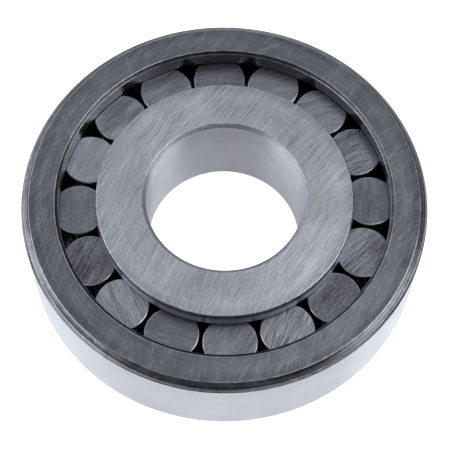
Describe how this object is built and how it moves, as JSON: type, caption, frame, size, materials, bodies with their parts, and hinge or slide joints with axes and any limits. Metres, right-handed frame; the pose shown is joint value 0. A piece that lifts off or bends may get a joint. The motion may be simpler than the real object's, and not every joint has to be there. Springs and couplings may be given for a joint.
{
  "type": "cylindrical roller bearing",
  "caption": "Cageless cylindrical roller bearing: ribbed outer ring, single-ribbed inner ring and a full row of short rollers between them.",
  "frame": {"origin": "on the bearing's axis, halfway through its width", "axes": "+Z along the axis, out of the side where both rings have a rib; X and Y are radial"},
  "size_m": [0.09, 0.09, 0.023],
  "materials": {
    "ring_steel": "ground bearing steel",
    "roller_steel": "fine ground and lapped bearing steel"
  },
  "bodies": {
    "outer_ring": {"outer_ring": "ring_steel"},
    "inner_ring": {"inner_ring": "ring_steel"},
    "roller_set": {"roller_01": "roller_steel"},
    "roller_02": {"roller_02": "roller_steel"},
    "roller_03": {"roller_03": "roller_steel"},
    "roller_04": {"roller_04": "roller_steel"},
    "roller_05": {"roller_05": "roller_steel"},
    "roller_06": {"roller_06": "roller_steel"},
    "roller_07": {"roller_07": "roller_steel"},
    "roller_08": {"roller_08": "roller_steel"},
    "roller_09": {"roller_09": "roller_steel"},
    "roller_10": {"roller_10": "roller_steel"},
    "roller_11": {"roller_11": "roller_steel"},
    "roller_12": {"roller_12": "roller_steel"},
    "roller_13": {"roller_13": "roller_steel"},
    "roller_14": {"roller_14": "roller_steel"},
    "roller_15": {"roller_15": "roller_steel"},
    "roller_16": {"roller_16": "roller_steel"}
  },
  "joints": [
    {"name": "inner_ring_turn", "type": "hinge", "parent": "outer_ring", "child": "inner_ring", "pos_m": [0, 0, 0], "axis": [0, 0, 1], "continuous": true},
    {"name": "roller_set_orbit", "type": "hinge", "parent": "outer_ring", "child": "roller_set", "pos_m": [0, 0, 0], "axis": [0, 0, 1], "continuous": true},
    {"name": "roller_02_spin", "type": "hinge", "parent": "roller_set", "child": "roller_02", "pos_m": [0.02939, 0.01411, 0], "axis": [0, 0, 1], "continuous": true},
    {"name": "roller_03_spin", "type": "hinge", "parent": "roller_set", "child": "roller_03", "pos_m": [0.02175, 0.02428, 0], "axis": [0, 0, 1], "continuous": true},
    {"name": "roller_04_spin", "type": "hinge", "parent": "roller_set", "child": "roller_04", "pos_m": [0.0108, 0.03076, 0], "axis": [0, 0, 1], "continuous": true},
    {"name": "roller_05_spin", "type": "hinge", "parent": "roller_set", "child": "roller_05", "pos_m": [-0.00179, 0.03255, 0], "axis": [0, 0, 1], "continuous": true},
    {"name": "roller_06_spin", "type": "hinge", "parent": "roller_set", "child": "roller_06", "pos_m": [-0.01411, 0.02939, 0], "axis": [0, 0, 1], "continuous": true},
    {"name": "roller_07_spin", "type": "hinge", "parent": "roller_set", "child": "roller_07", "pos_m": [-0.02428, 0.02175, 0], "axis": [0, 0, 1], "continuous": true},
    {"name": "roller_08_spin", "type": "hinge", "parent": "roller_set", "child": "roller_08", "pos_m": [-0.03076, 0.0108, 0], "axis": [0, 0, 1], "continuous": true},
    {"name": "roller_09_spin", "type": "hinge", "parent": "roller_set", "child": "roller_09", "pos_m": [-0.03255, -0.00179, 0], "axis": [0, 0, 1], "continuous": true},
    {"name": "roller_10_spin", "type": "hinge", "parent": "roller_set", "child": "roller_10", "pos_m": [-0.02939, -0.01411, 0], "axis": [0, 0, 1], "continuous": true},
    {"name": "roller_11_spin", "type": "hinge", "parent": "roller_set", "child": "roller_11", "pos_m": [-0.02175, -0.02428, 0], "axis": [0, 0, 1], "continuous": true},
    {"name": "roller_12_spin", "type": "hinge", "parent": "roller_set", "child": "roller_12", "pos_m": [-0.0108, -0.03076, 0], "axis": [0, 0, 1], "continuous": true},
    {"name": "roller_13_spin", "type": "hinge", "parent": "roller_set", "child": "roller_13", "pos_m": [0.00179, -0.03255, 0], "axis": [0, 0, 1], "continuous": true},
    {"name": "roller_14_spin", "type": "hinge", "parent": "roller_set", "child": "roller_14", "pos_m": [0.01411, -0.02939, 0], "axis": [0, 0, 1], "continuous": true},
    {"name": "roller_15_spin", "type": "hinge", "parent": "roller_set", "child": "roller_15", "pos_m": [0.02428, -0.02175, 0], "axis": [0, 0, 1], "continuous": true},
    {"name": "roller_16_spin", "type": "hinge", "parent": "roller_set", "child": "roller_16", "pos_m": [0.03076, -0.0108, 0], "axis": [0, 0, 1], "continuous": true}
  ],
  "couplings": [
    {"joint": "roller_set_orbit", "follows": "inner_ring_turn", "ratio": 0.40797},
    {"joint": "roller_02_spin", "follows": "inner_ring_turn", "ratio": -2.6246},
    {"joint": "roller_03_spin", "follows": "inner_ring_turn", "ratio": -2.6246},
    {"joint": "roller_04_spin", "follows": "inner_ring_turn", "ratio": -2.6246},
    {"joint": "roller_05_spin", "follows": "inner_ring_turn", "ratio": -2.6246},
    {"joint": "roller_06_spin", "follows": "inner_ring_turn", "ratio": -2.6246},
    {"joint": "roller_07_spin", "follows": "inner_ring_turn", "ratio": -2.6246},
    {"joint": "roller_08_spin", "follows": "inner_ring_turn", "ratio": -2.6246},
    {"joint": "roller_09_spin", "follows": "inner_ring_turn", "ratio": -2.6246},
    {"joint": "roller_10_spin", "follows": "inner_ring_turn", "ratio": -2.6246},
    {"joint": "roller_11_spin", "follows": "inner_ring_turn", "ratio": -2.6246},
    {"joint": "roller_12_spin", "follows": "inner_ring_turn", "ratio": -2.6246},
    {"joint": "roller_13_spin", "follows": "inner_ring_turn", "ratio": -2.6246},
    {"joint": "roller_14_spin", "follows": "inner_ring_turn", "ratio": -2.6246},
    {"joint": "roller_15_spin", "follows": "inner_ring_turn", "ratio": -2.6246},
    {"joint": "roller_16_spin", "follows": "inner_ring_turn", "ratio": -2.6246}
  ]
}
